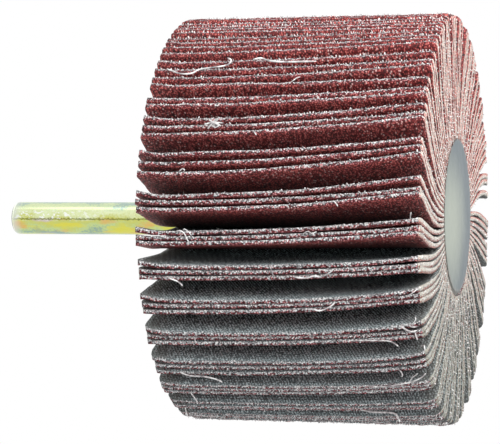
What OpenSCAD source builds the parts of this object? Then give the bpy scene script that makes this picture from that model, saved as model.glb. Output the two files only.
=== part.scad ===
// Mounted flap wheel: packs of coated cloth flaps cast into a resin core
// on a plain round shank. The wheel stands on its front end face, z = 0,
// with the shank pointing up. Millimetres and degrees.

/* [Wheel] */
// Diameter over the flap tips
wheel_d = 77.5; // [60:0.5:100]
// Width of the wheel along the shank
wheel_w = 50.8; // [20:0.1:80]
// Number of flap packs around the core
packs = 36; // [18:1:40]
// Flaps in one pack
flaps_per_pack = 3; // [2:1:4]

/* [Flaps] */
// Thickness of the coated cloth, grit included
cloth_t = 0.75; // [0.5:0.05:0.9]
// Free room between neighbouring flaps at their inner ends
root_gap = 0.03; // [0.02:0.01:0.1]
// Distance that the tips bend sideways from a straight radial line
tip_bend = 5.4; // [0:0.1:7]
// Angle between neighbouring tips of one pack
tip_spread = 2.25; // [1.8:0.05:3]
// Where the S of a flap ends: 180 would bring the tips back to radial
bend_phase = 150; // [110:5:175]
// Straight pieces that draw the bend of one flap
bend_steps = 8; // [5:1:12]

/* [Core] */
// Reach of the resin flanges past the inner ends of the flaps
root_cover = 1.1; // [0.6:0.1:3]
// Depth of a flange at the inner ends of the flaps
flange_inner_t = 1.4; // [0.8:0.1:3]
// Extra depth of a flange at its rim, which hooks into the flap notches
hook_t = 1.2; // [0.4:0.1:2]
// Radius of the rounded flange edge
rim_round = 0.6; // [0.2:0.1:0.7]
// Bond gap between the resin and what is cast into it
bond_gap = 0.02; // [0.01:0.01:0.05]

/* [Shank] */
// Diameter of the shank
shank_d = 6.35; // [3:0.05:8]
// Free length of the shank outside the wheel
shank_free = 38.1; // [20:0.1:60]
// Resin left in front of the cast-in end of the shank
shank_cover = 5; // [2:0.5:10]
// Rounding of the free end
tip_round = 1.1; // [0.2:0.1:1.4]
// Depth to which the cast-in length is turned down below the free shank
cast_step = 0.5; // [0.4:0.05:0.7]
// Number of retaining grooves in the cast-in length
grooves = 3; // [1:1:5]
// Width of a retaining groove
groove_w = 1.6; // [1.3:0.1:2.4]
// Depth of a retaining groove
groove_depth = 0.5; // [0.2:0.05:0.6]

/* [Hidden] */
$fn = 64;
flap_count = packs * flaps_per_pack;
flap_pitch = 360 / flap_count;
tip_r = wheel_d / 2;
// inner ends of the flaps: as close to the axis as their thickness allows
root_r = (cloth_t + root_gap) / 2 / tan(flap_pitch / 2);
core_r = root_r - bond_gap;
hub_r = root_r + root_cover;
// sideways bend of the tips as an angle about the axis
tip_turn = tip_bend / tip_r * 180 / PI;
shank_r = shank_d / 2;
cast_r = shank_r - cast_step;
shank_in = wheel_w - shank_cover;
groove_pitch = shank_in / (grooves + 1);

// share of the full turn reached at t, 0 at the resin and 1 at the tip
function bend(t) = (1 - cos(bend_phase * t)) / (1 - cos(bend_phase));
// change of that share along t
function bend_rate(t) = bend_phase * PI / 180 * sin(bend_phase * t) / (1 - cos(bend_phase));

// radii at which a flap is drawn: its inner end, the resin's edge, then even steps
function stations() = concat([root_r], [for (i = [0:bend_steps]) hub_r + (tip_r - hub_r) * i / bend_steps]);

function flap_point(r, at, turn, side) =
    let (t = max(0, (r - hub_r) / (tip_r - hub_r)),
         a = at + turn * bend(t),
         lean = t > 0 ? atan(r * turn * PI / 180 * bend_rate(t) / (tip_r - hub_r)) : 0,
         n = a + lean + 90)
    [r * cos(a) + side * cloth_t / 2 * cos(n), r * sin(a) + side * cloth_t / 2 * sin(n)];

// outline of a flap seen along the axis, up one face and back down the other
function flap_outline(at, turn) =
    let (s = stations(), n = len(s) - 1)
    concat([for (i = [0:n]) flap_point(s[i], at, turn, -1)],
           [for (i = [n:-1:0]) flap_point(s[i], at, turn, 1)]);

// half of a rounded edge, from the end face round to the rim
function round_edge(r, z, up) =
    [for (i = [0:5]) [r - rim_round + rim_round * sin(i * 18), z + up * (rim_round - rim_round * cos(i * 18))]];

// depth of a resin flange at radius r: deeper towards its rim, so it hooks into the flaps
function flange_depth(r) = flange_inner_t + hook_t * (r - core_r) / (hub_r - core_r);

// notch that is punched in both inner corners of a flap, in the plane of the flap
module root_notch() {
    inner = root_r - 0.3;
    outer = hub_r + bond_gap;
    polygon([[inner, -2], [outer, -2],
             [outer, flange_depth(outer) + 2 * bond_gap],
             [inner, flange_depth(inner) + 2 * bond_gap]]);
}

module flap(at, turn) {
    difference() {
        linear_extrude(wheel_w) polygon(flap_outline(at, turn));
        for (end = [0, 1])
            rotate([0, 0, at])
                translate([0, 0, end * wheel_w])
                    mirror([0, 0, end])
                        rotate([90, 0, 0])
                            linear_extrude(2 * cloth_t, center = true) root_notch();
    }
}

// pack of flaps: roots at an even pitch, tips drawn together
module flap_pack(i) {
    color([0.48, 0.2, 0.2])
        for (j = [0:flaps_per_pack - 1]) {
            place = j - (flaps_per_pack - 1) / 2;
            flap((i - 1) * 360 / packs + place * flap_pitch,
                 tip_turn + place * (tip_spread - flap_pitch));
        }
}

function groove_z(k) = shank_cover + k * groove_pitch;

// half section of the grooved, cast-in length, grown by gap, up to height z
function cast_side(gap, z) =
    concat([[0, shank_cover - gap], [cast_r + gap, shank_cover - gap]],
           [for (k = [1:grooves]) each [
               [cast_r + gap, groove_z(k) - groove_w / 2 + gap],
               [cast_r - groove_depth + gap, groove_z(k) - groove_w / 2 + groove_depth + gap],
               [cast_r - groove_depth + gap, groove_z(k) + groove_w / 2 - groove_depth - gap],
               [cast_r + gap, groove_z(k) + groove_w / 2 - gap]]],
           [[cast_r + gap, z]]);

module shank() {
    color([0.78, 0.72, 0.42])
        rotate_extrude()
            polygon(concat(cast_side(0, wheel_w),
                [[shank_r, wheel_w]],
                [for (i = [0:6]) [shank_r - tip_round + tip_round * cos(i * 15),
                                  wheel_w + shank_free - tip_round + tip_round * sin(i * 15)]],
                [[0, wheel_w + shank_free]]));
}

// cast resin: a barrel inside the flap roots with a hooked flange at each end
module resin_core() {
    color([0.66, 0.7, 0.66])
        rotate_extrude()
            difference() {
                polygon(concat([[0, 0]],
                    round_edge(hub_r, 0, 1),
                    [for (r = [hub_r, core_r]) [r, flange_depth(r)]],
                    [for (r = [core_r, hub_r]) [r, wheel_w - flange_depth(r)]],
                    [for (p = [5:-1:0]) round_edge(hub_r, wheel_w, -1)[p]],
                    [[0, wheel_w]]));
                polygon(concat(cast_side(bond_gap, wheel_w + 1), [[0, wheel_w + 1]]));
            }
}

shank();
resin_core();
for (i = [1:packs])
    flap_pack(i);
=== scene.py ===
import bpy
import bmesh
import math
from random import Random
from mathutils import Matrix, Vector, noise


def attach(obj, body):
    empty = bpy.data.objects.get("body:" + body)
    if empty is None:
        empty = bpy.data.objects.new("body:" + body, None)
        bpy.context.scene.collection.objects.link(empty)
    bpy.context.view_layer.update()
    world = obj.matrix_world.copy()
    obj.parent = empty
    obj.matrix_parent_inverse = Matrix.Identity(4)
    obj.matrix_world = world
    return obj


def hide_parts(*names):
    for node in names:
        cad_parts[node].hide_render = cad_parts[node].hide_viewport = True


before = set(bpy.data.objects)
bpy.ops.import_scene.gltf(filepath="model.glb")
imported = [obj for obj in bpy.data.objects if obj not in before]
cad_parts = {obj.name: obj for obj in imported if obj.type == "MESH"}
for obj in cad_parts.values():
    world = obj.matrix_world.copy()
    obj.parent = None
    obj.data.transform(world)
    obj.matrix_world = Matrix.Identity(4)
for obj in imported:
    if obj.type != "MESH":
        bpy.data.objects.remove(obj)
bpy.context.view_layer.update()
mm = 0.001
print("frame loaded")


# shading helpers

def addNode(tree, kind, inputs=None, **settings):
    node = tree.nodes.new(kind)
    for name, value in settings.items():
        setattr(node, name, value)
    for name, value in (inputs or {}).items():
        if isinstance(value, bpy.types.NodeSocket):
            tree.links.new(value, node.inputs[name])
        else:
            node.inputs[name].default_value = value
    return node


def addMix(tree, factor, first, second, mode="MIX"):
    # colour mix; first and second are sockets or colours
    node = tree.nodes.new("ShaderNodeMix")
    node.data_type = "RGBA"
    node.blend_type = mode
    for index, value in ((0, factor), (6, first), (7, second)):
        if isinstance(value, bpy.types.NodeSocket):
            tree.links.new(value, node.inputs[index])
        else:
            node.inputs[index].default_value = value
    return node.outputs[2]


def addMath(tree, operation, first, second=0.0, clamp=False):
    node = tree.nodes.new("ShaderNodeMath")
    node.operation = operation
    node.use_clamp = clamp
    for index, value in ((0, first), (1, second)):
        if isinstance(value, bpy.types.NodeSocket):
            tree.links.new(value, node.inputs[index])
        else:
            node.inputs[index].default_value = value
    return node.outputs[0]


def addRamp(tree, factor, stops, interpolation="LINEAR"):
    ramp = addNode(tree, "ShaderNodeValToRGB", {"Fac": factor})
    ramp.color_ramp.interpolation = interpolation
    elements = ramp.color_ramp.elements
    while len(elements) < len(stops):
        elements.new(0.5)
    for element, (place, colour) in zip(elements, stops):
        element.position = place
        element.color = colour
    return ramp.outputs["Color"]


def srgb(red, green, blue):
    # a colour as it is seen on screen, 0 to 255, made linear
    linear = [(c / 255 / 12.92) if c < 10.3 else ((c / 255 + 0.055) / 1.055) ** 2.4 for c in (red, green, blue)]
    return (*linear, 1.0)


def newGroup(name, inputs, outputs):
    group = bpy.data.node_groups.new(name, "ShaderNodeTree")
    kinds = {"vector": "NodeSocketVector", "colour": "NodeSocketColor", "value": "NodeSocketFloat"}
    for socket, kind in inputs.items():
        group.interface.new_socket(socket, in_out="INPUT", socket_type=kinds[kind])
    for socket, kind in outputs.items():
        group.interface.new_socket(socket, in_out="OUTPUT", socket_type=kinds[kind])
    return group, group.nodes.new("NodeGroupInput"), group.nodes.new("NodeGroupOutput")


def placeGroup(tree, group, inputs):
    node = tree.nodes.new("ShaderNodeGroup")
    node.node_tree = group
    for name, value in inputs.items():
        if isinstance(value, bpy.types.NodeSocket):
            tree.links.new(value, node.inputs[name])
        else:
            node.inputs[name].default_value = value
    return node


def newMaterial(name):
    material = bpy.data.materials.new(name)
    material.use_nodes = True
    tree = material.node_tree
    return material, tree, tree.nodes["Principled BSDF"]


def addSheetPlace(tree, place, share):
    # place on a flap drawn out along the radius, so that specks look round from the side; then the radius and the height
    parts = addNode(tree, "ShaderNodeSeparateXYZ", {"Vector": place})
    flatPlace = addNode(tree, "ShaderNodeCombineXYZ", {"X": parts.outputs["X"], "Y": parts.outputs["Y"]})
    radius = addNode(tree, "ShaderNodeVectorMath", {0: flatPlace.outputs["Vector"]}, operation="LENGTH").outputs["Value"]
    turn = addMath(tree, "MULTIPLY", addMath(tree, "ARCTAN2", parts.outputs["Y"], parts.outputs["X"]), 0.004)
    drawn = addNode(tree, "ShaderNodeCombineXYZ", {"X": addMath(tree, "MULTIPLY", radius, share), "Y": turn,
                                                   "Z": parts.outputs["Z"]})
    return drawn.outputs["Vector"], radius, parts.outputs["Z"]


def addEnds(tree, height, share):
    # mask of the last few millimetres at both sides of the wheel
    fromMiddle = addMath(tree, "ABSOLUTE", addMath(tree, "SUBTRACT", height, 0.0254))
    return addNode(tree, "ShaderNodeMapRange", {"Value": fromMiddle, "From Min": 0.021, "From Max": 0.0242,
                                                "To Max": share}).outputs["Result"]


# shared effects

def makeGrainGroup():
    # abrasive grains: one colour per grain, the odd bright facet, and their height
    group, entry, exit = newGroup("abrasiveGrain",
                                  {"Vector": "vector", "Grains per metre": "value", "Dark": "colour",
                                   "Middle": "colour", "Light": "colour", "Glint": "colour"},
                                  {"Colour": "colour", "Height": "value"})
    vector, scale = entry.outputs["Vector"], entry.outputs["Grains per metre"]
    grain = addNode(group, "ShaderNodeTexVoronoi", {"Vector": vector, "Scale": scale})
    pick = addNode(group, "ShaderNodeSeparateColor", {"Color": grain.outputs["Color"]})
    fine = addNode(group, "ShaderNodeTexNoise", {"Vector": vector, "Scale": addMath(group, "MULTIPLY", scale, 1.9),
                                                 "Detail": 2.0})
    dot = addNode(group, "ShaderNodeMapRange", {"Value": grain.outputs["Distance"], "From Min": 0.2, "From Max": 0.62,
                                                "To Min": 0.48, "To Max": 0.0})
    shade = addMath(group, "ADD", addMath(group, "MULTIPLY", pick.outputs["Red"], 0.33),
                    addMath(group, "MULTIPLY", fine.outputs["Fac"], 0.36))
    shade = addMath(group, "ADD", shade, dot.outputs["Result"])
    low = addNode(group, "ShaderNodeMapRange", {"Value": shade, "From Min": 0.2, "From Max": 0.54})
    high = addNode(group, "ShaderNodeMapRange", {"Value": shade, "From Min": 0.56, "From Max": 0.78})
    colour = addMix(group, low.outputs["Result"], entry.outputs["Dark"], entry.outputs["Middle"])
    colour = addMix(group, high.outputs["Result"], colour, entry.outputs["Light"])
    glint = addNode(group, "ShaderNodeMapRange", {"Value": pick.outputs["Green"], "From Min": 0.88, "From Max": 0.93})
    facet = addMath(group, "MULTIPLY", glint.outputs["Result"], addMath(group, "MULTIPLY", dot.outputs["Result"], 2.0))
    colour = addMix(group, facet, colour, entry.outputs["Glint"])
    pits = addNode(group, "ShaderNodeMapRange", {"Value": grain.outputs["Distance"], "From Min": 0.1, "From Max": 0.75,
                                                 "To Min": 1.0, "To Max": 0.0})
    group.links.new(colour, exit.inputs["Colour"])
    group.links.new(addMath(group, "MULTIPLY", pits.outputs["Result"], addMath(group, "ADD", pick.outputs["Blue"], 0.4)),
                    exit.inputs["Height"])
    return group


def makeTwillGroup():
    # twill cloth on a flat map in decimetres: warp and weft yarns, and the diagonal where they cross
    group, entry, exit = newGroup("twillWeave",
                                  {"Vector": "vector", "Yarn pitch mm": "value"},
                                  {"Height": "value", "Ribs": "value"})
    sheet = addNode(group, "ShaderNodeSeparateXYZ", {"Vector": entry.outputs["Vector"]})
    turns = addMath(group, "DIVIDE", 100 * 2 * math.pi, entry.outputs["Yarn pitch mm"])
    along = addMath(group, "MULTIPLY", sheet.outputs["X"], turns)
    across = addMath(group, "MULTIPLY", sheet.outputs["Y"], turns)
    wobble = addNode(group, "ShaderNodeTexNoise", {"Vector": entry.outputs["Vector"], "Scale": 60.0, "Detail": 2.0})
    along = addMath(group, "ADD", along, addMath(group, "MULTIPLY", wobble.outputs["Fac"], 5.0))
    warp = addMath(group, "ABSOLUTE", addMath(group, "SINE", addMath(group, "MULTIPLY", along, 0.5)))
    weft = addMath(group, "ABSOLUTE", addMath(group, "SINE", addMath(group, "MULTIPLY", across, 0.5)))
    steps = addMath(group, "ADD", addMath(group, "MULTIPLY", along, 0.17), addMath(group, "MULTIPLY", across, 0.5))
    diagonal = addMath(group, "ADD", addMath(group, "MULTIPLY", addMath(group, "SINE", steps), 0.5), 0.5)
    group.links.new(addMath(group, "ADD", addMath(group, "MULTIPLY", warp, addMath(group, "ADD", diagonal, 0.3)),
                            addMath(group, "MULTIPLY", weft, 0.5)), exit.inputs["Height"])
    ribs = addMath(group, "ADD", addMath(group, "MULTIPLY", across, 0.5), addMath(group, "MULTIPLY", along, 0.29))
    group.links.new(addMath(group, "ABSOLUTE", addMath(group, "SINE", ribs)), exit.inputs["Ribs"])
    return group


grainGroup = makeGrainGroup()
twillGroup = makeTwillGroup()


# finishes

# the near-core colour is painted shade deep between the flaps, with some dirt
gritLook = {"grainsPerMetre": 3150, "dark": srgb(33, 7, 8), "middle": srgb(138, 37, 40), "light": srgb(226, 120, 113),
            "glint": srgb(250, 214, 208), "shadeAndDirtNearCore": srgb(28, 29, 27), "coreFrom": 24.0, "coreTo": 38.0,
            "endShare": 0.8, "radialShare": 0.65, "roughness": 0.6, "bump": 0.9, "grainHeight": 0.0002}


def makeGrit():
    look = gritLook
    material, tree, shader = newMaterial("redBrownGrit")
    place = addNode(tree, "ShaderNodeTexCoord").outputs["Object"]
    drawn, radius, height = addSheetPlace(tree, place, look["radialShare"])
    grain = placeGroup(tree, grainGroup, {"Vector": drawn, "Grains per metre": look["grainsPerMetre"],
                                          "Dark": look["dark"], "Middle": look["middle"], "Light": look["light"],
                                          "Glint": look["glint"]})
    clouds = addNode(tree, "ShaderNodeTexNoise", {"Vector": place, "Scale": 90.0, "Detail": 3.0})
    tint = addRamp(tree, clouds.outputs["Fac"], [(0.3, (0.8, 0.8, 0.8, 1)), (0.7, (1.12, 1.08, 1.08, 1))])
    bump = addNode(tree, "ShaderNodeBump", {"Height": grain.outputs["Height"], "Strength": look["bump"],
                                            "Distance": look["grainHeight"]})
    # painted shade deep between the flaps, with some dirt: the grit darkens towards the core, but not near both sides
    # of the wheel
    outwards = addNode(tree, "ShaderNodeMapRange", {"Value": radius, "From Min": look["coreFrom"] * mm,
                                                    "From Max": look["coreTo"] * mm})
    clearOfShadeAndDirt = addMath(tree, "MAXIMUM", outwards.outputs["Result"], addEnds(tree, height, look["endShare"]))
    colour = addMix(tree, 1.0, grain.outputs["Colour"], tint, "MULTIPLY")
    tree.links.new(addMix(tree, clearOfShadeAndDirt, look["shadeAndDirtNearCore"], colour), shader.inputs["Base Color"])
    tree.links.new(bump.outputs["Normal"], shader.inputs["Normal"])
    shader.inputs["Roughness"].default_value = look["roughness"]
    return material


clothLook = {"yarnPitch": 0.57, "dark": srgb(18, 31, 33), "middle": srgb(92, 112, 114), "light": srgb(222, 236, 238),
             "lighterTowardsTip": srgb(138, 146, 148), "dustAndGapShade": srgb(92, 90, 84), "endShare": 0.65, "lighterTowardsTipFrom": 32.5, "specksPerMetre": 4300.0, "radialShare": 0.7, "roughness": 0.85, "bump": 0.8, "yarnHeight": 0.00014}


def makeCloth():
    look = clothLook
    material, tree, shader = newMaterial("greyTwillBacking")
    flat = addNode(tree, "ShaderNodeUVMap", uv_map="flatSheet").outputs["UV"]
    place = addNode(tree, "ShaderNodeTexCoord").outputs["Object"]
    drawn, radius, height = addSheetPlace(tree, place, look["radialShare"])
    weave = placeGroup(tree, twillGroup, {"Vector": flat, "Yarn pitch mm": look["yarnPitch"]})
    speckle = addNode(tree, "ShaderNodeTexNoise", {"Vector": drawn, "Scale": look["specksPerMetre"], "Detail": 1.0})
    stains = addNode(tree, "ShaderNodeTexNoise", {"Vector": place, "Scale": 70.0, "Detail": 4.0})
    level = addMath(tree, "ADD", addMath(tree, "MULTIPLY", weave.outputs["Height"], 0.08),
                    addMath(tree, "MULTIPLY", speckle.outputs["Fac"], 1.38))
    level = addMath(tree, "ADD", level, addMath(tree, "MULTIPLY", weave.outputs["Ribs"], 0.28))
    level = addMath(tree, "SUBTRACT", addMath(tree, "ADD", level, addMath(tree, "MULTIPLY", stains.outputs["Fac"], 0.2)), 0.155)
    colour = addRamp(tree, level, [(0.72, look["dark"]), (0.94, look["middle"]), (1.0, look["light"])])
    # the cloth turns lighter towards the tip
    nearTip = addNode(tree, "ShaderNodeMapRange", {"Value": radius, "From Min": look["lighterTowardsTipFrom"] * mm,
                                                   "From Max": 0.0386, "To Max": 0.5})
    colour = addMix(tree, nearTip.outputs["Result"], colour, look["lighterTowardsTip"])
    # near both sides the cloth takes a grey-beige dust colour, kept dark as painted shade in the gaps between the flaps
    colour = addMix(tree, addEnds(tree, height, look["endShare"]), colour, look["dustAndGapShade"])
    bump = addNode(tree, "ShaderNodeBump", {"Height": weave.outputs["Height"], "Strength": look["bump"],
                                            "Distance": look["yarnHeight"]})
    tree.links.new(colour, shader.inputs["Base Color"])
    tree.links.new(bump.outputs["Normal"], shader.inputs["Normal"])
    shader.inputs["Roughness"].default_value = look["roughness"]
    return material


tipEdgeLook = {"yarnDark": srgb(18, 16, 18), "yarnMiddle": srgb(190, 184, 186), "yarnLight": srgb(254, 253, 251),
               "coatDark": srgb(22, 6, 8), "coatMiddle": srgb(122, 42, 48), "coatLight": srgb(228, 156, 158),
               "layerStart": 0.1, "wander": 3.4, "lowerSide": 0.6, "paintedLowShade": (0.98, 1.0, 1.0, 1), "roughness": 0.9,
               "yarnsPerMetre": 2750, "roughHeight": 0.0003}
# the side edges are a lighter copy of the tip edges: pale fibre dust, and partly painted light on the end faces
sideEdgeLook = {"yarnDark": srgb(190, 176, 164), "yarnMiddle": srgb(245, 234, 221), "yarnLight": srgb(254, 252, 247),
                "coatDark": srgb(170, 94, 88), "coatMiddle": srgb(232, 166, 155), "coatLight": srgb(250, 220, 210),
                "layerStart": -0.2, "wander": 2.8, "lowerSide": 0.7, "paintedLowShade": (0.535, 0.575, 0.56, 1), "roughness": 0.9,
                "yarnsPerMetre": 2900, "roughHeight": 0.0003}


def makeCutEdge(name, look):
    # cut edge of the sheet: pale yarn ends on one side, the red coat on the other; greyer and with less coat on the
    # lower side of the wheel, and darker there as painted shade
    material, tree, shader = newMaterial(name)
    place = addNode(tree, "ShaderNodeTexCoord").outputs["Object"]
    depth = addNode(tree, "ShaderNodeAttribute", attribute_name="sheetDepth").outputs["Fac"]
    parts = addNode(tree, "ShaderNodeSeparateXYZ", {"Vector": place})
    lowerSide = addNode(tree, "ShaderNodeMapRange", {"Value": parts.outputs["X"], "From Min": 0.012, "From Max": -0.026})
    yarn = placeGroup(tree, grainGroup, {"Vector": place, "Grains per metre": look["yarnsPerMetre"],
                                         "Dark": look["yarnDark"], "Middle": look["yarnMiddle"],
                                         "Light": look["yarnLight"], "Glint": look["yarnLight"]})
    coat = placeGroup(tree, grainGroup, {"Vector": place, "Grains per metre": look["yarnsPerMetre"],
                                         "Dark": look["coatDark"], "Middle": look["coatMiddle"],
                                         "Light": look["coatLight"], "Glint": gritLook["glint"]})
    wander = addNode(tree, "ShaderNodeTexNoise", {"Vector": place, "Scale": 2500.0, "Detail": 0.0})
    level = addMath(tree, "ADD", depth, addMath(tree, "MULTIPLY", addMath(tree, "SUBTRACT", wander.outputs["Fac"], 0.5),
                                                look["wander"]))
    level = addMath(tree, "ADD", level, addMath(tree, "MULTIPLY", lowerSide.outputs["Result"], look["lowerSide"]))
    layer = addNode(tree, "ShaderNodeMapRange", {"Value": level, "From Min": look["layerStart"],
                                                 "From Max": look["layerStart"] + 0.25})
    bump = addNode(tree, "ShaderNodeBump", {"Height": yarn.outputs["Height"], "Strength": 1.0,
                                            "Distance": look["roughHeight"]})
    # painted shade: the cut edges darken towards the lower side of the wheel, strongly on the sides and hardly at the
    # tips
    paintedLowShade = addMix(tree, lowerSide.outputs["Result"], (1, 1, 1, 1), look["paintedLowShade"])
    colour = addMix(tree, layer.outputs["Result"], coat.outputs["Colour"], yarn.outputs["Colour"])
    tree.links.new(addMix(tree, 1.0, colour, paintedLowShade, "MULTIPLY"), shader.inputs["Base Color"])
    tree.links.new(bump.outputs["Normal"], shader.inputs["Normal"])
    shader.inputs["Roughness"].default_value = look["roughness"]
    return material


def makeCotton():
    material, tree, shader = newMaterial("frayedCotton")
    place = addNode(tree, "ShaderNodeTexCoord").outputs["Object"]
    tone = addNode(tree, "ShaderNodeTexNoise", {"Vector": place, "Scale": 700.0, "Detail": 2.0})
    colour = addRamp(tree, tone.outputs["Fac"], [(0.34, srgb(146, 138, 140)), (0.5, srgb(222, 216, 215)),
                                                 (0.62, srgb(252, 251, 249))])
    tree.links.new(colour, shader.inputs["Base Color"])
    shader.inputs["Roughness"].default_value = 0.9
    return material


# resin tones; the third colour is painted shade for the front face, darkest furthest from the given centre
resinLook = {"clear": srgb(157, 161, 149), "cloudy": srgb(148, 154, 146), "paintedShade": srgb(92, 101, 106),
             "unshadedCentre": (-1.0, -9.0, 0.0), "paintedShadeFrom": 2.6, "paintedShadeTo": 17.6, "middle": (0.85, 0.0, 0.0),
             "rim": srgb(138, 134, 128), "rimStart": 14.1, "rimEnd": 15.0, "roughness": 0.45, "specular": 0.25}


def addDistance(tree, place, centre):
    # distance from a line along the shank, centre in millimetres
    offset = addNode(tree, "ShaderNodeMapping", {"Vector": place, "Location": [-c * mm for c in centre], "Scale": (1, 1, 0)})
    return addNode(tree, "ShaderNodeVectorMath", {0: offset.outputs["Vector"]}, operation="LENGTH").outputs["Value"]


def makeResin():
    look = resinLook
    material, tree, shader = newMaterial("castResin")
    place = addNode(tree, "ShaderNodeTexCoord").outputs["Object"]
    cloud = addNode(tree, "ShaderNodeTexNoise", {"Vector": place, "Scale": 80.0, "Detail": 4.0})
    fine = addNode(tree, "ShaderNodeTexNoise", {"Vector": place, "Scale": 900.0, "Detail": 3.0})
    colour = addMix(tree, cloud.outputs["Fac"], look["cloudy"], look["clear"])
    # painted shade: the front face turns darker and bluer further from a point 9 mm off the middle towards -Y, with a
    # cloudy edge, as where the dome faces away from the light; the rear face keeps its colour
    away = addMath(tree, "ADD", addDistance(tree, place, look["unshadedCentre"]), addMath(tree, "MULTIPLY", cloud.outputs["Fac"], 0.008))
    paintedShade = addNode(tree, "ShaderNodeMapRange", {"Value": away, "From Min": (look["paintedShadeFrom"] + 4) * mm,
                                                "From Max": (look["paintedShadeTo"] + 4) * mm}, interpolation_type="SMOOTHSTEP")
    height = addNode(tree, "ShaderNodeSeparateXYZ", {"Vector": place}).outputs["Z"]
    atFront = addNode(tree, "ShaderNodeMapRange", {"Value": height, "From Min": 0.03, "From Max": 0.01})
    colour = addMix(tree, addMath(tree, "MULTIPLY", paintedShade.outputs["Result"], atFront.outputs["Result"]), colour, look["paintedShade"])
    wander = addMath(tree, "ADD", addDistance(tree, place, look["middle"]), addMath(tree, "MULTIPLY", fine.outputs["Fac"], 0.0012))
    rim = addNode(tree, "ShaderNodeMapRange", {"Value": wander, "From Min": (look["rimStart"] + 0.4) * mm,
                                               "From Max": (look["rimEnd"] + 0.4) * mm})
    bump = addNode(tree, "ShaderNodeBump", {"Height": cloud.outputs["Fac"], "Strength": 0.3, "Distance": 0.0016})
    tree.links.new(addMix(tree, rim.outputs["Result"], colour, look["rim"]), shader.inputs["Base Color"])
    tree.links.new(addMath(tree, "ADD", addMath(tree, "MULTIPLY", fine.outputs["Fac"], 0.12), look["roughness"] - 0.06),
                   shader.inputs["Roughness"])
    tree.links.new(bump.outputs["Normal"], shader.inputs["Normal"])
    shader.inputs["Specular IOR Level"].default_value = look["specular"]
    return material


# the film's colours from one side of the shank to the other: partly the plating's own colours, partly painted
# reflection, blue-grey at the top and bottom edges
platingLook = {"filmAndPaintedReflection": [(0.0, srgb(150, 174, 160)), (0.07, srgb(172, 194, 152)), (0.17, srgb(195, 212, 148)),
                        (0.27, srgb(196, 206, 128)), (0.42, srgb(202, 204, 110)), (0.5, srgb(206, 212, 138)),
                        (0.58, srgb(214, 222, 168)), (0.76, srgb(224, 234, 186)), (0.93, srgb(206, 223, 182)),
                        (1.0, srgb(176, 197, 184))],
               "straw": srgb(222, 214, 78), "amber": srgb(226, 172, 106), "rose": srgb(206, 188, 192), "scratch": srgb(247, 249, 246),
               "paintedReflectionLine": srgb(106, 112, 54), "tip": srgb(214, 219, 212), "cut": srgb(104, 110, 92), "roughness": 0.22}


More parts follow.
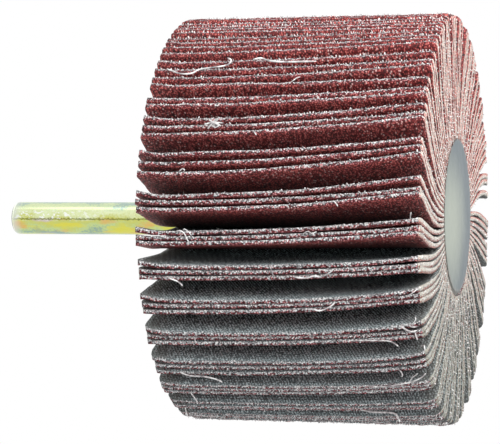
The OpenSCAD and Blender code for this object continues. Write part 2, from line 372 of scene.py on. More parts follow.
def makePlating():
    # yellow zinc: a film that runs from blue-green through straw to pale, with amber patches and a dark line; the
    # blue-green at the top and bottom edges and the dark line are painted reflection
    look = platingLook
    material, tree, shader = newMaterial("yellowZinc")
    place = addNode(tree, "ShaderNodeTexCoord").outputs["Object"]
    stretched = addNode(tree, "ShaderNodeMapping", {"Vector": place, "Scale": (1.0, 1.0, 0.35)})
    drift = addNode(tree, "ShaderNodeTexNoise", {"Vector": stretched.outputs["Vector"], "Scale": 500.0, "Detail": 3.0})
    specks = addNode(tree, "ShaderNodeTexNoise", {"Vector": place, "Scale": 2200.0, "Detail": 2.0})
    speck = addMath(tree, "SUBTRACT", specks.outputs["Fac"], 0.5)
    parts = addNode(tree, "ShaderNodeSeparateXYZ", {"Vector": place})
    # painted reflection: the film is laid by height on the shank, blue-grey at its top and bottom edges
    level = addMath(tree, "ADD", addMath(tree, "MULTIPLY", parts.outputs["X"], 157.0), 0.5)
    level = addMath(tree, "ADD", level, addMath(tree, "MULTIPLY", addMath(tree, "SUBTRACT", drift.outputs["Fac"], 0.5), 0.85))
    level = addMath(tree, "ADD", level, addMath(tree, "MULTIPLY", speck, 0.4))
    colour = addRamp(tree, level, look["filmAndPaintedReflection"])
    below = addNode(tree, "ShaderNodeMapRange", {"Value": parts.outputs["X"], "From Min": 0.0002, "From Max": -0.0003})
    for seedShift, name, start in ((0.13, "straw", 0.5), (0.31, "amber", 0.54), (0.77, "rose", 0.6)):
        shifted = addNode(tree, "ShaderNodeMapping", {"Vector": stretched.outputs["Vector"], "Location": (seedShift, 0, 0)})
        patch = addNode(tree, "ShaderNodeTexNoise", {"Vector": shifted.outputs["Vector"], "Scale": 420.0, "Detail": 3.0})
        mask = addNode(tree, "ShaderNodeMapRange", {"Value": patch.outputs["Fac"], "From Min": start, "From Max": start + 0.1,
                                                    "To Max": 0.75})
        colour = addMix(tree, addMath(tree, "MULTIPLY", mask.outputs["Result"], below.outputs["Result"]), colour, look[name])
    marks = addNode(tree, "ShaderNodeMapping", {"Vector": place, "Scale": (1.0, 1.0, 0.6), "Rotation": (0, 0.6, 0)})
    scratches = addNode(tree, "ShaderNodeTexNoise", {"Vector": marks.outputs["Vector"], "Scale": 2400.0, "Detail": 1.0})
    scratch = addNode(tree, "ShaderNodeMapRange", {"Value": scratches.outputs["Fac"], "From Min": 0.55, "From Max": 0.62})
    towardsTip = addNode(tree, "ShaderNodeMapRange", {"Value": parts.outputs["Z"], "From Min": 0.066, "From Max": 0.078})
    band = addNode(tree, "ShaderNodeMapRange", {"Value": addMath(tree, "ABSOLUTE", addMath(tree, "SUBTRACT", parts.outputs["X"], 0.0006)),
                                                "From Min": 0.0006, "From Max": 0.0012, "To Min": 0.9, "To Max": 0.0})
    colour = addMix(tree, addMath(tree, "MULTIPLY", scratch.outputs["Result"],
                                  addMath(tree, "MULTIPLY", towardsTip.outputs["Result"], band.outputs["Result"])),
                    colour, look["scratch"])
    # painted reflection: a dark line along the near side of the shank, just below its middle
    offLine = addMath(tree, "ADD", addMath(tree, "ADD", parts.outputs["X"], 0.00013), addMath(tree, "MULTIPLY", speck, 0.0009))
    line = addNode(tree, "ShaderNodeMapRange", {"Value": addMath(tree, "ABSOLUTE", offLine), "From Min": 0.00003,
                                                "From Max": 0.00023, "To Min": 0.85, "To Max": 0.0})
    nearSide = addNode(tree, "ShaderNodeMapRange", {"Value": parts.outputs["Y"], "From Min": 0.0, "From Max": -0.001})
    colour = addMix(tree, addMath(tree, "MULTIPLY", line.outputs["Result"], nearSide.outputs["Result"]), colour, look["paintedReflectionLine"])
    end = addNode(tree, "ShaderNodeMapRange", {"Value": parts.outputs["Z"], "From Min": 0.0865, "From Max": 0.088, "To Max": 0.7})
    colour = addMix(tree, end.outputs["Result"], colour, look["tip"])
    cut = addNode(tree, "ShaderNodeMapRange", {"Value": parts.outputs["Z"], "From Min": 0.08835, "From Max": 0.0886})
    colour = addMix(tree, cut.outputs["Result"], colour, look["cut"])
    tree.links.new(addMath(tree, "SUBTRACT", 1.0, cut.outputs["Result"]), shader.inputs["Metallic"])
    brushed = addNode(tree, "ShaderNodeMapping", {"Vector": place, "Scale": (1.0, 1.0, 14.0)})
    rings = addNode(tree, "ShaderNodeTexNoise", {"Vector": brushed.outputs["Vector"], "Scale": 380.0, "Detail": 4.0})
    bump = addNode(tree, "ShaderNodeBump", {"Height": rings.outputs["Fac"], "Strength": 0.2, "Distance": 0.00005})
    tree.links.new(colour, shader.inputs["Base Color"])
    tree.links.new(addMath(tree, "ADD", addMath(tree, "MULTIPLY", rings.outputs["Fac"], 0.14), look["roughness"] - 0.07),
                   shader.inputs["Roughness"])
    tree.links.new(bump.outputs["Normal"], shader.inputs["Normal"])
    return material


grit, cloth, cotton = makeGrit(), makeCloth(), makeCotton()
tipEdge, sideEdge = makeCutEdge("tipEdge", tipEdgeLook), makeCutEdge("sideEdge", sideEdgeLook)
resin, plating = makeResin(), makePlating()
print("finishes made")


# flaps

wheel = {"width": 50.8, "tipRadius": 38.75, "rootRadius": 13.41, "hubRadius": 14.52, "notchDepth": 2.6,
         "packs": 36, "perPack": 3, "thickness": 0.75, "bendPhase": 150.0}
flapLook = {"rows": 64, "columns": 15, "trim": 0.1, "flare": 0.5, "wave": 0.3, "tipRagged": 0.22, "sideRagged": 0.16,
            "swell": 0.42, "curl": (0.2, 0.3, 1.0), "rise": (2.2, 2.2, 2.2), "lowRise": (2.5, 2.7, 3.5), "sway": 0.5,
            "dips": {7: 1.0, 8: 2.2, 9: 3.6}}
# rounding of the corners at the shank side and at the front, for runs of packs: first, last, smallest, largest
cornerLook = {"rear": [(1, 26, 0.5, 1.3), (27, 36, 0.1, 0.5)],
              "front": [(1, 6, 0.5, 1.4), (7, 14, 1.4, 2.4), (15, 18, 0.7, 1.6), (19, 26, 1.3, 2.4), (27, 36, 0.4, 1.0)]}
# how far the tips of a pack's three flaps have turned from the pack's root, in degrees: at the shank side, at the front
usualTips = ((3.9, 6.2, 8.3), (8.6, 10.1, 12.4))
packTips = {
    20: ((4.5, 6.2, 8.0), (9.0, 10.8, 12.8)), 21: ((4.5, 6.2, 8.5), (9.5, 10.9, 13.0)),
    22: ((4.7, 6.5, 8.2), (9.7, 11.0, 12.5)), 23: ((4.3, 6.5, 8.6), (9.0, 10.8, 13.4)),
    24: ((5.3, 7.0, 8.5), (9.1, 10.4, 13.1)), 25: ((5.1, 6.8, 8.3), (9.5, 10.9, 12.6)),
    26: ((4.8, 6.4, 7.9), (7.7, 8.9, 10.8)), 27: ((4.1, 5.5, 6.9), (7.3, 8.6, 10.6)),
    28: ((2.9, 4.9, 6.5), (7.4, 8.7, 11.7)), 29: ((2.5, 5.1, 7.8), (8.2, 9.9, 12.0)),
    30: ((3.4, 5.7, 7.8), (8.3, 9.6, 12.3)), 31: ((2.4, 4.1, 8.9), (5.9, 7.3, 10.8)),
    32: ((1.7, 4.9, 7.9), (6.1, 7.9, 11.4)), 33: ((2.0, 4.9, 7.8), (6.4, 7.8, 10.1)),
    34: ((0.5, 4.3, 6.3), (3.5, 5.3, 7.7)), 35: ((-0.8, 1.9, 4.9), (1.5, 3.7, 6.5)),
    36: ((-1.0, 1.5, 4.5), (1.7, 4.1, 6.9)), 1: ((0.5, 2.8, 5.6), (3.5, 5.8, 8.4)),
    2: ((3.5, 5.5, 7.5), (6.4, 8.4, 10.9)), 3: ((3.0, 5.0, 7.0), (5.4, 7.4, 9.6)),
    4: ((0.5, 2.5, 4.6), (2.0, 4.0, 6.0)), 5: ((0.0, 2.0, 4.0), (1.4, 3.2, 5.2)),
    6: ((0.4, 2.4, 4.4), (1.8, 3.6, 5.7)), 7: ((0.0, 2.0, 4.0), (0.0, 2.1, 4.6)),
    8: ((-1.6, 0.6, 2.6), (-3.4, -0.4, 2.0)), 9: ((-0.4, 1.6, 4.4), (-2.1, -0.4, 3.8)),
    10: ((2.5, 4.5, 6.5), (2.6, 4.4, 6.2)), 11: ((2.5, 4.5, 6.5), (-0.2, 2.0, 4.6)),
    12: ((3.0, 5.0, 7.0), (3.0, 4.9, 6.9)), 13: ((2.5, 4.5, 6.5), (1.0, 3.0, 5.0)),
    14: ((2.5, 4.5, 6.5), (2.0, 4.0, 6.0)), 15: ((3.0, 5.0, 7.0), (2.2, 4.2, 6.2)),
    16: ((3.4, 5.5, 7.6), (4.0, 6.0, 8.2))}


def bendShare(t):
    phase = math.radians(wheel["bendPhase"])
    return (1 - math.cos(phase * t)) / (1 - math.cos(phase))


def bendRate(t):
    phase = math.radians(wheel["bendPhase"])
    return phase * math.sin(phase * t) / (1 - math.cos(phase))


def makeFlatFlap():
    # one flap as it is cut: x is the radius, y the width, z the thickness with the grit below
    sheet = bmesh.new()
    bmesh.ops.create_grid(sheet, x_segments=flapLook["columns"], y_segments=flapLook["rows"], size=0.5)
    free = wheel["tipRadius"] - flapLook["trim"] - wheel["hubRadius"]
    for vert in sheet.verts:
        column = round((vert.co.x + 0.5) * flapLook["columns"])
        t = max(0.0, (column - 1) / (flapLook["columns"] - 1))
        vert.co.x = wheel["rootRadius"] if column == 0 else wheel["hubRadius"] + free * (1 - (1 - t) ** 1.3)
        vert.co.y = (vert.co.y + 0.5) * wheel["width"]
    corners = [f for f in sheet.faces if f.calc_center_median().x < wheel["hubRadius"]
               and not wheel["notchDepth"] < f.calc_center_median().y < wheel["width"] - wheel["notchDepth"]]
    bmesh.ops.delete(sheet, geom=corners, context="FACES")
    bmesh.ops.solidify(sheet, geom=sheet.faces[:], thickness=wheel["thickness"])
    bmesh.ops.recalc_face_normals(sheet, faces=sheet.faces[:])
    middle = sum(v.co.z for v in sheet.verts) / len(sheet.verts)
    flat = sheet.loops.layers.uv.new("flatSheet")
    depth = sheet.verts.layers.float.new("sheetDepth")
    for vert in sheet.verts:
        vert.co.z = math.copysign(wheel["thickness"] / 2, vert.co.z - middle)
        vert[depth] = math.copysign(1.0, vert.co.z)
    for face in sheet.faces:
        if abs(face.normal.z) > 0.5:
            face.material_index = 1 if face.normal.z > 0 else 0
        else:
            face.material_index = 4 if abs(face.normal.y) > 0.5 else 2
        face.smooth = True
        for loop in face.loops:
            loop[flat].uv = (loop.vert.co.x / 100, loop.vert.co.y / 100)
    mesh = bpy.data.meshes.new("flatFlap")
    sheet.to_mesh(mesh)
    sheet.free()
    return mesh


fuzzLook = {"tuftStep": 0.52, "tuftRadius": (0.06, 0.19), "tuftLength": (0.16, 0.56), "sideStep": 1.0,
            "wornPacks": range(20, 25), "wornLength": (0.25, 0.7), "wornStep": 0.5, "hairs": 6, "hairRadius": 0.03, "hairLength": (0.3, 0.8), "threadScale": 1.3}
# loose threads: pack, flap in it, then the way of the thread as steps of (from the front, outwards, towards the cloth), and its radius
looseThreads = [
    (32, 1, [(48.9, 0, 0.3), (47.6, 0.5, -0.8), (45.6, 0.6, -1.9), (43.6, 0.5, -1.6), (42.4, 0.4, -0.3),
             (39.5, 0.5, 0.2), (37.4, 0.7, 0.5), (36.8, 1.0, 1.5), (37.8, 0.9, 2.4)], 0.12),
    (32, 2, [(33.0, 0.1, 0.4), (31.4, 0.5, 0.1), (29.9, 0.6, -0.9), (27.0, 0.5, -1.4), (21.0, 0.4, -1.6)], 0.14),
    (31, 2, [(25.0, 0, 0.3), (24.0, 0.5, 0.9), (23.4, 0.4, 1.3)], 0.08),
    (30, 0, [(30.6, 0, 0.2), (30.1, 0.5, -0.3), (29.6, 0.5, -1.0)], 0.09),
    (30, 0, [(43.6, 0, 0.2), (42.8, 0.5, 0.0), (42.2, 0.5, -0.5)], 0.08),
    (30, 1, [(38.4, 0, 0.2), (37.8, 0.6, -0.5), (37.4, 0.9, 0.3), (36.6, 0.8, -0.4), (37.2, 1.0, -1.0), (38.0, 0.8, -0.2),
             (37.5, 1.0, 0.6), (36.8, 0.9, 0.9)], 0.07),
    (30, 1, [(38.6, 0.5, -0.9), (38.0, 0.9, -0.2), (37.4, 0.8, 0.4), (36.6, 0.9, 1.2)], 0.12),
    (30, 1, [(38.6, 0.6, 0.9), (37.9, 0.9, 0.3), (37.2, 0.9, -0.1), (36.2, 0.8, -0.6)], 0.12),
    (30, 1, [(39.2, 0.5, 0.1), (38.2, 0.9, 0.1), (37.0, 0.9, 0.1), (35.9, 0.6, 0.2)], 0.13),
    (29, 0, [(43.5, 0, 0.3), (42.7, 0.4, 0.8), (42.2, 0.5, 0.4)], 0.1),
    (28, 0, [(15.6, 0, 0.2), (15.0, 0.6, 0.1), (14.5, 0.7, -0.4), (14.2, 0.6, -0.9)], 0.09),
    (27, 2, [(43.6, 0, 0.3), (42.6, 0.7, 0.4), (41.8, 0.9, -0.2), (41.5, 0.8, -0.9), (41.2, 0.7, -1.5)], 0.09),
    (27, 2, [(42.5, 0, 0.3), (41.9, 0.8, 0.7), (41.2, 0.7, 0.2), (40.6, 0.6, -0.5)], 0.06),
    (27, 1, [(20.5, 0, 0.3), (19.6, 0.6, 0.6), (18.8, 0.7, 0.2), (18.0, 0.6, 0.5)], 0.08),
    (26, 2, [(26.8, 0, 0.2), (26.4, 0.6, -0.2), (26.2, 0.7, -1.0), (25.9, 0.6, -1.5)], 0.07),
    (26, 0, [(22.6, 0, 0.2), (21.6, 0.5, 0.0), (20.0, 0.6, -0.1), (18.6, 0.7, 0.2), (17.4, 0.8, 0.0), (15.8, 0.8, 0.7),
             (15.2, 0.9, 1.2)], 0.12),
    (26, 0, [(45.4, 0, 0), (44.6, 0.6, -0.1), (43.6, 0.8, -0.4), (42.9, 0.8, -0.9), (42.7, 0.7, -1.3)], 0.1),
    (25, 0, [(20.4, 0, 0.1), (19.4, 0.7, 0.3), (18.2, 0.8, 0.0), (17.0, 0.9, 0.3), (15.8, 1.0, 0.9), (15.2, 0.9, 1.4)], 0.1),
    (24, 1, [(42.0, 0, 0.2), (41.8, 0.7, 0.0), (41.7, 0.9, -0.6)], 0.08),
    (24, 0, [(13.6, 0, 0.1), (11.0, 0.5, 0.2), (8.0, 0.7, 0.1), (6.2, 0.9, -0.1), (5.2, 1.1, -0.6), (4.7, 1.1, -1.1)], 0.09),
    (23, 0, [(6.0, 0, 0.1), (5.2, 0.7, 0.0), (4.8, 1.1, -0.5), (4.9, 1.2, -1.0)], 0.09),
    (23, 0, [(46.5, 0, 0), (44.4, 0.8, -0.1), (42.0, 1.0, 0.0), (40.2, 1.2, -0.2), (38.9, 1.4, -0.5), (38.2, 1.6, -0.8)], 0.11),
    (22, 2, [(12.0, 0, 0.2), (9.0, 0.6, 0.3), (6.0, 0.6, 0.6), (3.4, 0.5, 1.0), (1.8, 0.4, 1.7), (0.9, 0.2, 2.4)], 0.11),
    (22, 0, [(46.0, 0, 0), (45.2, 0.9, -0.1), (44.5, 1.7, -0.3), (44.2, 2.3, -0.5)], 0.09),
    (21, 0, [(15.0, 0, 0), (12.4, 0.7, 0.1), (9.6, 0.9, 0.2), (8.2, 1.1, 0.0), (7.6, 1.8, -0.3), (7.2, 2.5, -0.6)], 0.14),
    (21, 0, [(48.8, 0, 0), (48.4, 1.0, -0.1), (48.1, 1.8, -0.4)], 0.09),
    (23, 2, [(1.6, -2.2, 0.3), (1.0, -1.4, 1.0), (0.6, -0.6, 1.2), (0.3, 0.4, 0.9)], 0.08),
    (25, 1, [(2.4, 0, 0.3), (1.4, 0.6, 0.8), (0.5, 0.4, 1.4), (0.2, -0.6, 1.3)], 0.08),
    (24, 2, [(4.4, -0.1, 0.3), (3.2, 0.5, -0.5), (2.2, 0.4, -1.1), (1.4, -0.1, -1.2)], 0.12),
    (24, 2, [(3.0, -0.2, 0.3), (2.2, 0.3, -0.2), (1.4, -0.2, -0.5), (0.7, -1.0, -0.4)], 0.12),
    (24, 2, [(2.6, -0.2, 0.2), (2.0, 0.5, 0.3), (1.4, 0.3, 0.9), (1.5, -0.3, 1.3)], 0.07),
    (24, 1, [(1.8, -0.2, 0.2), (1.5, 0.5, -0.5), (1.3, 0.4, -1.3)], 0.1),
    (22, 2, [(4.4, 0, 0.2), (4.0, 0.5, 1.0), (3.4, 0.4, 1.9), (2.6, 0.2, 2.3), (2.4, 0.6, 2.9)], 0.07),
    (27, 2, [(1.6, -0.2, 0.3), (1.5, 0.6, 0.7), (1.3, 1.1, 1.3)], 0.08)]


def addSpike(bm, base, heading, length, radius, endShare, sides):
    # one tapered yarn end, standing on base and pointing along heading
    turn = heading.to_track_quat("Z", "Y").to_matrix().to_4x4()
    place = Matrix.Translation(base + heading.normalized() * length / 2) @ turn
    bmesh.ops.create_cone(bm, cap_ends=True, cap_tris=False, segments=sides, radius1=radius,
                          radius2=radius * endShare, depth=length, matrix=place)


def addThread(bm, path, radius, tip):
    # a round thread pushed out along its way, with a rounded path between the given points
    points = [Vector((tip + out, y, side)) for y, out, side in path]
    way = [points[0]]
    for k in range(len(points) - 1):
        before, after = points[max(k - 1, 0)], points[min(k + 2, len(points) - 1)]
        for step in (0.34, 0.67, 1.0):
            a, b = points[k], points[k + 1]
            way.append(0.5 * ((2 * a) + (b - before) * step + (2 * before - 5 * a + 4 * b - after) * step ** 2
                              + (3 * a - before - 3 * b + after) * step ** 3))
    turn = (way[1] - way[0]).to_track_quat("Z", "Y").to_matrix().to_4x4()
    ring = bmesh.ops.create_circle(bm, cap_ends=True, segments=5, radius=radius, matrix=Matrix.Translation(way[0]) @ turn)
    cap = ring["verts"][0].link_faces[0]
    heading = (way[1] - way[0]).normalized()
    for k in range(1, len(way)):
        grown = bmesh.ops.extrude_face_region(bm, geom=[cap], use_keep_orig=(k == 1))["geom"]
        cap = next(g for g in grown if isinstance(g, bmesh.types.BMFace))
        following = (way[min(k + 1, len(way) - 1)] - way[k - 1]).normalized()
        turn = heading.rotation_difference(following).to_matrix()
        thin = 0.9 + 0.25 * noise.noise(way[k] * 1.3) if k < len(way) - 1 else 0.5
        centre = cap.calc_center_median()
        for vert in cap.verts:
            vert.co = way[k] + turn @ (vert.co - centre) * thin ** (1 if k == len(way) - 1 else 0)
        heading = following


def makeFuzz(index, flap, rng):
    # yarn ends along the tip and both sides, and the loose threads, still on the flat sheet
    bm = bmesh.new()
    tip = wheel["tipRadius"] - flapLook["trim"]
    lowerSide = index in fuzzLook["wornPacks"]
    tuftLength = fuzzLook["wornLength" if lowerSide else "tuftLength"]
    tuftStep = fuzzLook["wornStep" if lowerSide else "tuftStep"]
    y = rng.uniform(0.6, 1)
    while y < wheel["width"] - 0.6:
        base = Vector((tip - 0.15, y, rng.uniform(0.0, 0.36)))
        heading = Vector((1.0, rng.gauss(0, 0.3), rng.gauss(0.1, 0.3)))
        addSpike(bm, base, heading, rng.uniform(*tuftLength), rng.uniform(*fuzzLook["tuftRadius"]), 0.45, 4)
        y += tuftStep * rng.uniform(0.5, 1.5)
    for side, out in ((0.0, -1.0), (wheel["width"], 1.0)):
        x = wheel["hubRadius"] + rng.uniform(0.5, 2)
        while x < tip - 1.0:
            base = Vector((x, side - out * 0.15, rng.uniform(-0.1, 0.4)))
            heading = Vector((rng.gauss(0.2, 0.6), out, rng.gauss(0.1, 0.4)))
            addSpike(bm, base, heading, rng.uniform(0.22, 0.42), rng.uniform(*fuzzLook["tuftRadius"]), 0.5, 4)
            x += fuzzLook["sideStep"] * rng.uniform(0.5, 1.5)
    for hair in range(fuzzLook["hairs"]):
        base = Vector((tip - 0.1, rng.uniform(1, wheel["width"] - 1), rng.uniform(0, 0.36)))
        heading = Vector((rng.uniform(0.1, 1), rng.gauss(0, 0.9), rng.gauss(0.1, 0.7)))
        addSpike(bm, base, heading, rng.uniform(*fuzzLook["hairLength"]), fuzzLook["hairRadius"], 0.5, 3)
    for pack, place, path, radius in looseThreads:
        if (pack, place) == (index, flap):
            addThread(bm, path, radius * fuzzLook["threadScale"], tip)
    bmesh.ops.recalc_face_normals(bm, faces=bm.faces[:])
    for face in bm.faces:
        face.material_index = 3
        face.smooth = True
    mesh = bpy.data.meshes.new("fuzz")
    bm.to_mesh(mesh)
    bm.free()
    return mesh


def cutSheet(x, y, w, seed, corner, shift):
    # trims a point of the flat sheet: rounded corners, uneven cut, sides that swell a little
    tip = wheel["tipRadius"] - flapLook["trim"]
    t = max(0.0, (x - wheel["hubRadius"]) / (tip - wheel["hubRadius"]))
    side = min(y, wheel["width"] - y)
    if t > 0.3 and side < 1.0:
        w *= 1 + flapLook["swell"] * min(1.0, (t - 0.3) * 3) * (1 - side)
    if side < 0.01 and t > 0:
        y += noise.noise((x * 1.5, w * 2, seed + 0.5)) * flapLook["sideRagged"] + shift[1] * min(1, t * 4)
    y += flapLook["flare"] * t * y / wheel["width"]
    if t > 0.9:
        x += (t - 0.9) * 10 * (noise.noise((y * 1.7, w, seed)) * flapLook["tipRagged"] + shift[0])
    rear = wheel["width"] + flapLook["flare"] * t
    ends = (corner[0], y) if y < wheel["width"] / 2 else (corner[1], rear - y)
    across, along = ends[0] - (tip - x), ends[0] - ends[1]
    if across > 0 and along > 0 and math.hypot(across, along) > ends[0]:
        pull = ends[0] / math.hypot(across, along)
        x = tip - ends[0] + across * pull
        inset = ends[0] - along * pull
        y = inset if y < wheel["width"] / 2 else rear - inset
    return x, y, w


def cornerRadius(end, index, rng):
    return next(rng.uniform(small, large) for first, last, small, large in cornerLook[end] if first <= index <= last)


def bendFlap(verts, sheetCount, at, place, tips, seed):
    # wraps the flat sheet round the core: radial at the resin, then an S away from the turn
    free = wheel["tipRadius"] - wheel["hubRadius"]
    rng = Random(seed)
    pack = seed // 10
    corner = (cornerRadius("front", pack, rng), cornerRadius("rear", pack, rng))
    rise = flapLook["lowRise" if pack < 27 else "rise"][place]
    dip = flapLook["dips"].get(pack, 0.0)
    shift = (rng.gauss(0, 0.1), rng.gauss(0, 0.08))
    for number, vert in enumerate(verts):
        x, y, w = vert.co
        if number < sheetCount:
            x, y, w = cutSheet(x, y, w, seed, corner, shift)
        t = max(0.0, (x - wheel["hubRadius"]) / free)
        share = min(1.0, max(0.0, y / wheel["width"]))
        whole = tips[0] + (tips[1] - tips[0]) * (1 - share) ** rise + noise.noise((y * 0.07, seed, 3)) * flapLook["wave"]
        whole += flapLook["curl"][place] * max(0.0, share * 12 - 11) ** 1.5
        u = min(t, 1.0)
        rate = whole * bendRate(u) - dip * math.pi * math.cos(math.pi * u)
        angle = math.radians(at + whole * bendShare(u) - dip * math.sin(math.pi * u) + (t - u) * rate)
        lean = math.atan(x * math.radians(rate) / free) * min(1.0, t * 9)
        normal = angle + lean + math.pi / 2
        vert.co = Vector((x * math.cos(angle) + w * math.cos(normal), x * math.sin(angle) + w * math.sin(normal), y)) * mm


def makePack(index, flatFlap):
    rng = Random(100 + index)
    sway = (0, 0) if index in packTips else (rng.gauss(0, flapLook["sway"]), rng.gauss(0, flapLook["sway"]))
    rear, front = packTips.get(index, usualTips)
    pitch = 360 / (wheel["packs"] * wheel["perPack"])
    bm = bmesh.new()
    for flap in range(wheel["perPack"]):
        place = flap - (wheel["perPack"] - 1) / 2
        start = len(bm.verts)
        bm.from_mesh(flatFlap)
        fuzz = makeFuzz(index, flap, rng)
        bm.from_mesh(fuzz)
        bpy.data.meshes.remove(fuzz)
        bm.verts.ensure_lookup_table()
        tips = (rear[flap] + sway[0] - place * pitch, front[flap] + sway[1] - place * pitch)
        bendFlap(bm.verts[start:], len(flatFlap.vertices), (index - 1) * 360 / wheel["packs"] + place * pitch,
                 flap, tips, index * 10 + flap)
    mesh = bpy.data.meshes.new(f"flapPack{index}")
    bm.to_mesh(mesh)
    bm.free()
    for material in (grit, cloth, tipEdge, cotton, sideEdge):
        mesh.materials.append(material)
    piece = bpy.data.objects.new(f"flapPack{index}", mesh)
    bpy.context.scene.collection.objects.link(piece)
    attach(piece, "root")
    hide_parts(f"flap_pack_{index}")
    return sum(len(p.vertices) - 2 for p in mesh.polygons)


flatFlap = makeFlatFlap()
triangles = sum(makePack(index, flatFlap) for index in range(1, wheel["packs"] + 1))
bpy.data.meshes.remove(flatFlap)
print("flap packs made,", triangles, "triangles")


# resin core and shank

def spinPiece(name, profile, steps, material):
    # turns a half section in x, z about the wheel's axis
    bm = bmesh.new()
    verts = [bm.verts.new(Vector((x, 0, z)) * mm) for x, z in profile]
    edges = [bm.edges.new(pair) for pair in zip(verts, verts[1:])]
    bmesh.ops.spin(bm, geom=verts + edges, cent=(0, 0, 0), axis=(0, 0, 1), angle=2 * math.pi, steps=steps, use_merge=True)
    bmesh.ops.remove_doubles(bm, verts=bm.verts[:], dist=1e-7)
    bmesh.ops.recalc_face_normals(bm, faces=bm.faces[:])
    return bm


def finishPiece(bm, name, node, material, sharpAngle):
    for face in bm.faces:
        face.smooth = True
    for edge in bm.edges:
        edge.smooth = edge.calc_face_angle(0.0) < math.radians(sharpAngle)
    mesh = bpy.data.meshes.new(name)
    bm.to_mesh(mesh)
    bm.free()
    mesh.materials.append(material)
    piece = bpy.data.objects.new(name, mesh)
    bpy.context.scene.collection.objects.link(piece)
    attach(piece, "root")
    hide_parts(node)
    return piece


coreLook = {"radius": 14.5, "barrel": 13.38, "flangeInner": 1.4, "flangeRim": 2.6, "dome": 0.65, "proud": 0.12,
            "bore": 2.695, "blind": 4.98, "creep": 0.38, "offCentre": 0.7, "steps": 324}


def makeCore():
    look, width = coreLook, wheel["width"]
    front = [(r, -look["proud"] - look["dome"] * (1 - (r / 14.3) ** 2)) for r in (0, 3, 6, 8.5, 10.5, 12, 13, 13.8, 14.3)]
    rim = [(14.42, -0.07), (14.2, -0.03), (14.42, 0.4), (look["radius"], 0.8), (look["radius"], look["flangeRim"])]
    barrel = [(look["barrel"], look["flangeInner"]), (look["barrel"], width - look["flangeInner"])]
    back = [(r, width - z) for r, z in reversed(rim)] + [(14.3, width + look["proud"]), (12.0, width + 0.2),
                                                         (8.0, width + 0.3), (4.4, width + 0.3), (3.5, width + 0.6),
                                                         (3.22, width + 1.0)]
    bore = [(3.19, width + 0.9), (3.19, width + 0.02), (look["bore"], width - 0.02), (look["bore"], look["blind"]),
            (0, look["blind"])]
    bm = spinPiece("resinCore", front + rim + barrel + back + bore, look["steps"], resin)
    for vert in bm.verts:  # the resin creeps out between the flaps, further on one side, and leaves an uneven edge
        x, y, z = vert.co / mm
        r = math.hypot(x, y)
        skin = z < -0.02 or z > width + 0.02
        if r > 13.9 and (z < 1 or z > width - 1):
            turn = math.atan2(y, x)
            creep = noise.noise((math.cos(turn) * 9, math.sin(turn) * 9, z)) * 0.8 + math.cos(turn * 108) * 0.35
            vert.co.x *= 1 + look["creep"] * creep / r
            vert.co.y *= 1 + look["creep"] * creep / r
        if skin and r > 4.5:
            vert.co.x += look["offCentre"] * ((r - 4.5) / 9.8) ** 2 * mm
    return finishPiece(bm, "resinCore", "resin_core", resin, 40)


shankLook = {"radius": 3.175, "castRadius": 2.675, "free": 38.1, "cover": 5.0, "round": 1.1, "grooves": 3,
             "grooveWidth": 1.6, "grooveDepth": 0.5, "steps": 96}


def makeShank():
    look, width = shankLook, wheel["width"]
    tip = width + look["free"]
    profile = [(0, look["cover"]), (look["castRadius"], look["cover"])]
    pitch = (width - look["cover"]) / (look["grooves"] + 1)
    for k in range(1, look["grooves"] + 1):
        z, half, deep = look["cover"] + k * pitch, look["grooveWidth"] / 2, look["grooveDepth"]
        profile += [(look["castRadius"], z - half), (look["castRadius"] - deep, z - half + deep),
                    (look["castRadius"] - deep, z + half - deep), (look["castRadius"], z + half)]
    profile += [(look["castRadius"], width), (look["radius"], width)]
    profile += [(look["radius"], width + look["free"] * share) for share in (0.25, 0.5, 0.75)]
    for step in range(10):
        angle = math.radians(step * 10)
        profile.append((look["radius"] - look["round"] * (1 - math.cos(angle)), tip - look["round"] * (1 - math.sin(angle))))
    profile.append((0, tip))
    return finishPiece(spinPiece("shank", profile, look["steps"], plating), "shank", "shank", plating, 40)


makeCore()
makeShank()
print("core and shank made")


# floor, light and camera

def makeFloor():
    bm = bmesh.new()
    bmesh.ops.create_grid(bm, x_segments=1, y_segments=1, size=6.0)
    bmesh.ops.translate(bm, verts=bm.verts[:], vec=(0, 0, -0.9 * mm))
    mesh = bpy.data.meshes.new("floor")
    bm.to_mesh(mesh)
    bm.free()
    material, tree, shader = newMaterial("paleFloor")
    tree.nodes.remove(shader)
    path, side = addNode(tree, "ShaderNodeLightPath"), addNode(tree, "ShaderNodeNewGeometry")
    pale = addNode(tree, "ShaderNodeBsdfDiffuse", {"Color": (0.86, 0.86, 0.86, 1)})
    clear = addNode(tree, "ShaderNodeBsdfTransparent")
    # only a camera that looks down on it sees the floor
    seen = addMath(tree, "MULTIPLY", path.outputs["Is Camera Ray"],
                   addMath(tree, "SUBTRACT", 1.0, side.outputs["Backfacing"]))
    mixed = addNode(tree, "ShaderNodeMixShader", {0: seen, 1: clear.outputs[0], 2: pale.outputs[0]})
    tree.links.new(mixed.outputs[0], tree.nodes["Material Output"].inputs["Surface"])
    mesh.materials.append(material)
    floor = bpy.data.objects.new("floor", mesh)
    bpy.context.scene.collection.objects.link(floor)


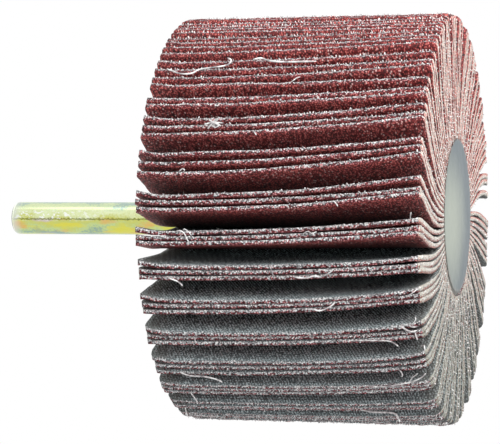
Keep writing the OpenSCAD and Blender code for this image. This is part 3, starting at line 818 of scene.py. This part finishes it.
def makeWorld(level):
    world = bpy.data.worlds.new("paleStudio")
    bpy.context.scene.world = world
    world.use_nodes = True
    tree = world.node_tree
    tree.nodes.clear()
    path = addNode(tree, "ShaderNodeLightPath")
    seen = addMath(tree, "MAXIMUM", addMath(tree, "MAXIMUM", path.outputs["Is Camera Ray"], path.outputs["Is Glossy Ray"]),
                   path.outputs["Is Transmission Ray"])
    white = addNode(tree, "ShaderNodeBackground", {"Color": (1, 1, 1, 1), "Strength": 1.0})
    soft = addNode(tree, "ShaderNodeBackground", {"Color": (0.96, 1.0, 1.015, 1), "Strength": level})
    mixed = addNode(tree, "ShaderNodeMixShader", {0: seen, 1: soft.outputs[0], 2: white.outputs[0]})
    out = addNode(tree, "ShaderNodeOutputWorld")
    tree.links.new(mixed.outputs[0], out.inputs["Surface"])


def addLamp(name, place, aim, size, energy):
    lamp = bpy.data.lights.new(name, "AREA")
    lamp.shape = "DISK"
    lamp.size = size
    lamp.energy = energy
    holder = bpy.data.objects.new(name, lamp)
    holder.location = place
    holder.rotation_mode = "QUATERNION"
    holder.rotation_quaternion = (Vector(aim) - Vector(place)).to_track_quat("-Z", "Y")
    bpy.context.scene.collection.objects.link(holder)


def makeCamera(look):
    camera = bpy.data.cameras.new("camera")
    camera.sensor_width = 36
    camera.lens = look["lens"]
    camera.clip_start, camera.clip_end = 0.01, 50
    forward = Vector(look["forward"]).normalized()
    right = forward.cross(Vector(look["up"])).normalized()
    up = right.cross(forward)
    turn = Matrix((right, up, -forward)).transposed().to_4x4()
    holder = bpy.data.objects.new("camera", camera)
    holder.matrix_world = Matrix.Translation(Vector(look["place"]) * mm) @ turn
    bpy.context.scene.collection.objects.link(holder)
    bpy.context.scene.camera = holder


# the picture is taken from below the front face, with the shank to the left
cameraLook = {"place": (5.263, -406.558, -69.095), "forward": (-0.01399, 0.96542, 0.26032),
              "up": (0.9999, 0.01353, 0.00355), "lens": 156.73}
middle = (0, 0, 0.03)
makeFloor()
makeWorld(0.66)
addLamp("keyLamp", (0.33, -0.5, -0.1), middle, 0.45, 1.8)
addLamp("sideLamp", (0.21, -0.07, -0.24), (0, 0, 0.01), 0.3, 1.05)
addLamp("shankLamp", (0.49, -0.12, 0.2), (0, 0, 0.07), 0.2, 0.078)
addLamp("lowLamp", (-0.42, -0.3, -0.24), (0, 0, 0.03), 0.4, 0.34)
addLamp("backLamp", (0.08, 0.2, 0.65), (0, 0, 0.05), 1.0, 1.4)
makeCamera(cameraLook)
bpy.context.scene.view_settings.view_transform = "Standard"
print("stage set")
